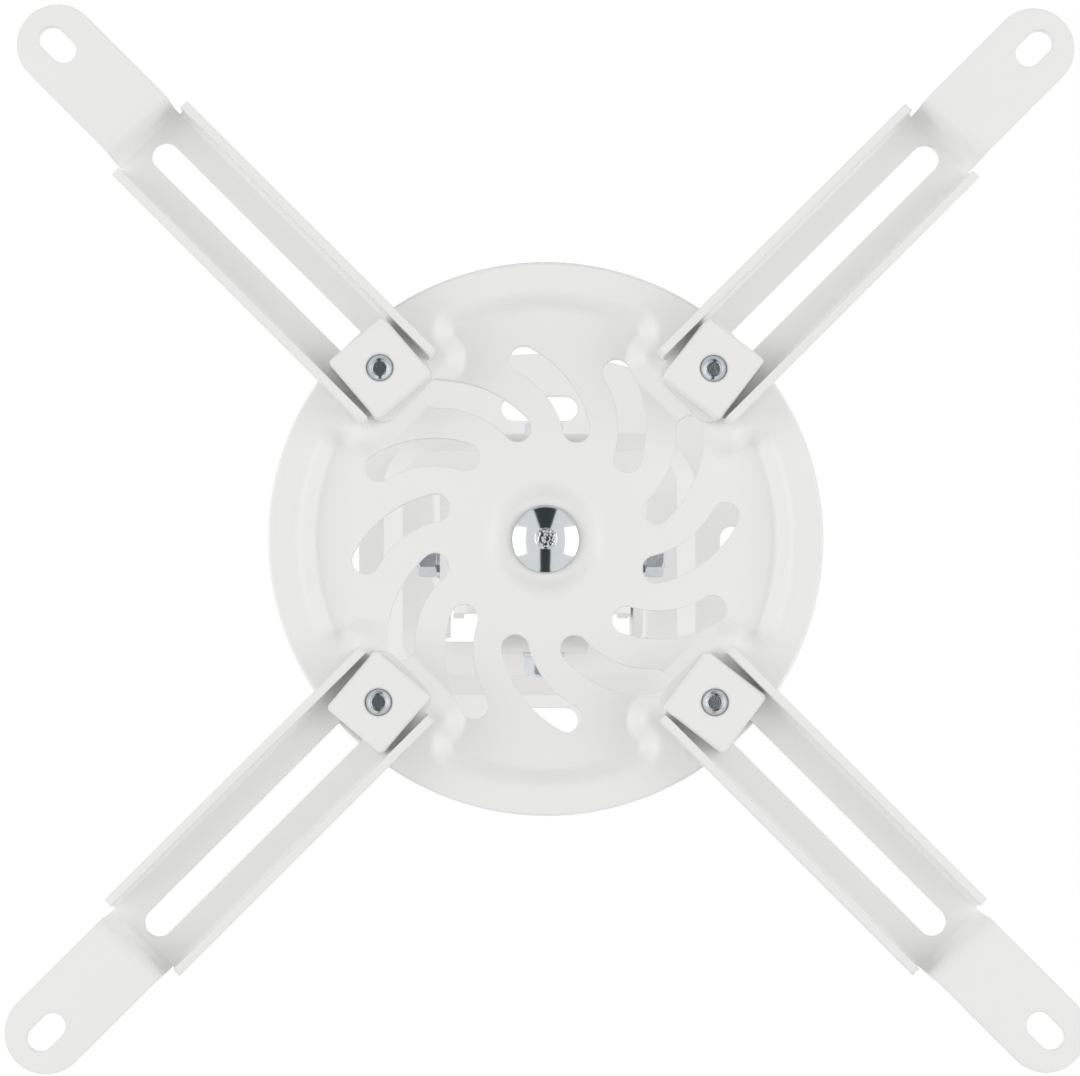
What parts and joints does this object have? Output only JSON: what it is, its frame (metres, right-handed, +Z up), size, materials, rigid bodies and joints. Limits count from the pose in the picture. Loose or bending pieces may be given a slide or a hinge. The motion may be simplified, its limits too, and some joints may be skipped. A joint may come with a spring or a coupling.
{
  "type": "projector ceiling mount",
  "caption": "Projector ceiling mount: a round vented plate with slotted swing-out arms, hung from an oval ceiling bracket by folded links that pitch, roll and swivel.",
  "frame": {"origin": "centre of the ceiling bracket's upper face, where it meets the ceiling", "axes": "+Z up into the ceiling; +X and +Y along two of the arms; the pitch axis lies half way between +X and +Y, the roll axis half way between +X and -Y"},
  "size_m": [0.3366, 0.3366, 0.1075],
  "materials": {
    "white_powder_coat": "smooth satin white powder coat on pressed steel sheet",
    "zinc_plated_steel": "bright zinc plating on cold-headed steel",
    "nickel_plated_steel": "bright plating on a cold-headed rivet",
    "natural_nylon": "natural off-white nylon, stamped"
  },
  "bodies": {
    "ceiling_bracket": {"ceiling_bracket": "white_powder_coat"},
    "cross_link": {"cross_link": "white_powder_coat", "pitch_bolt_right": "zinc_plated_steel", "pitch_washer_right": "zinc_plated_steel", "pitch_nut_right": "zinc_plated_steel", "pitch_friction_washer_right": "natural_nylon", "pitch_bolt_left": "zinc_plated_steel", "pitch_washer_left": "zinc_plated_steel", "pitch_nut_left": "zinc_plated_steel", "pitch_friction_washer_left": "natural_nylon", "roll_friction_washer_front": "natural_nylon", "roll_friction_washer_rear": "natural_nylon"},
    "swivel_bracket": {"swivel_bracket": "white_powder_coat", "swivel_rivet": "nickel_plated_steel", "rivet_washer": "zinc_plated_steel", "swivel_friction_washer": "natural_nylon", "roll_bolt_front": "zinc_plated_steel", "roll_washer_front": "zinc_plated_steel", "roll_nut_front": "zinc_plated_steel", "roll_bolt_rear": "zinc_plated_steel", "roll_washer_rear": "zinc_plated_steel", "roll_nut_rear": "zinc_plated_steel"},
    "projector_plate": {"projector_plate": "white_powder_coat"},
    "clamp_right": {"clamp_nut_right": "white_powder_coat", "clamp_bolt_right": "zinc_plated_steel", "clamp_washer_right": "zinc_plated_steel"},
    "arm_right": {"arm_right": "white_powder_coat"},
    "clamp_rear": {"clamp_nut_rear": "white_powder_coat", "clamp_bolt_rear": "zinc_plated_steel", "clamp_washer_rear": "zinc_plated_steel"},
    "arm_rear": {"arm_rear": "white_powder_coat"},
    "clamp_left": {"clamp_nut_left": "white_powder_coat", "clamp_bolt_left": "zinc_plated_steel", "clamp_washer_left": "zinc_plated_steel"},
    "arm_left": {"arm_left": "white_powder_coat"},
    "clamp_front": {"clamp_nut_front": "white_powder_coat", "clamp_bolt_front": "zinc_plated_steel", "clamp_washer_front": "zinc_plated_steel"},
    "arm_front": {"arm_front": "white_powder_coat"}
  },
  "joints": [
    {"name": "pitch", "type": "hinge", "parent": "ceiling_bracket", "child": "cross_link", "pos_m": [0, 0, -0.022], "axis": [0.7071, 0.7071, 0], "range_deg": [-15, 15]},
    {"name": "roll", "type": "hinge", "parent": "cross_link", "child": "swivel_bracket", "pos_m": [0, 0, -0.064], "axis": [0.7071, -0.7071, 0], "range_deg": [-15, 15]},
    {"name": "swivel", "type": "hinge", "parent": "swivel_bracket", "child": "projector_plate", "pos_m": [0, 0, -0.0885], "axis": [0, 0, 1], "continuous": true},
    {"name": "swing_right", "type": "hinge", "parent": "projector_plate", "child": "clamp_right", "pos_m": [0.0542, 0, -0.0965], "axis": [0, 0, 1], "range_deg": [-45, 45]},
    {"name": "slide_right", "type": "slide", "parent": "clamp_right", "child": "arm_right", "axis": [1, 0, 0], "range_m": [-0.027, 0]},
    {"name": "swing_rear", "type": "hinge", "parent": "projector_plate", "child": "clamp_rear", "pos_m": [0, 0.0542, -0.0965], "axis": [0, 0, 1], "range_deg": [-45, 45]},
    {"name": "slide_rear", "type": "slide", "parent": "clamp_rear", "child": "arm_rear", "axis": [0, 1, 0], "range_m": [-0.027, 0]},
    {"name": "swing_left", "type": "hinge", "parent": "projector_plate", "child": "clamp_left", "pos_m": [-0.0542, 0, -0.0965], "axis": [0, 0, 1], "range_deg": [-45, 45]},
    {"name": "slide_left", "type": "slide", "parent": "clamp_left", "child": "arm_left", "axis": [-1, 0, 0], "range_m": [-0.027, 0]},
    {"name": "swing_front", "type": "hinge", "parent": "projector_plate", "child": "clamp_front", "pos_m": [0, -0.0542, -0.0965], "axis": [0, 0, 1], "range_deg": [-45, 45]},
    {"name": "slide_front", "type": "slide", "parent": "clamp_front", "child": "arm_front", "axis": [0, -1, 0], "range_m": [-0.027, 0]}
  ]
}
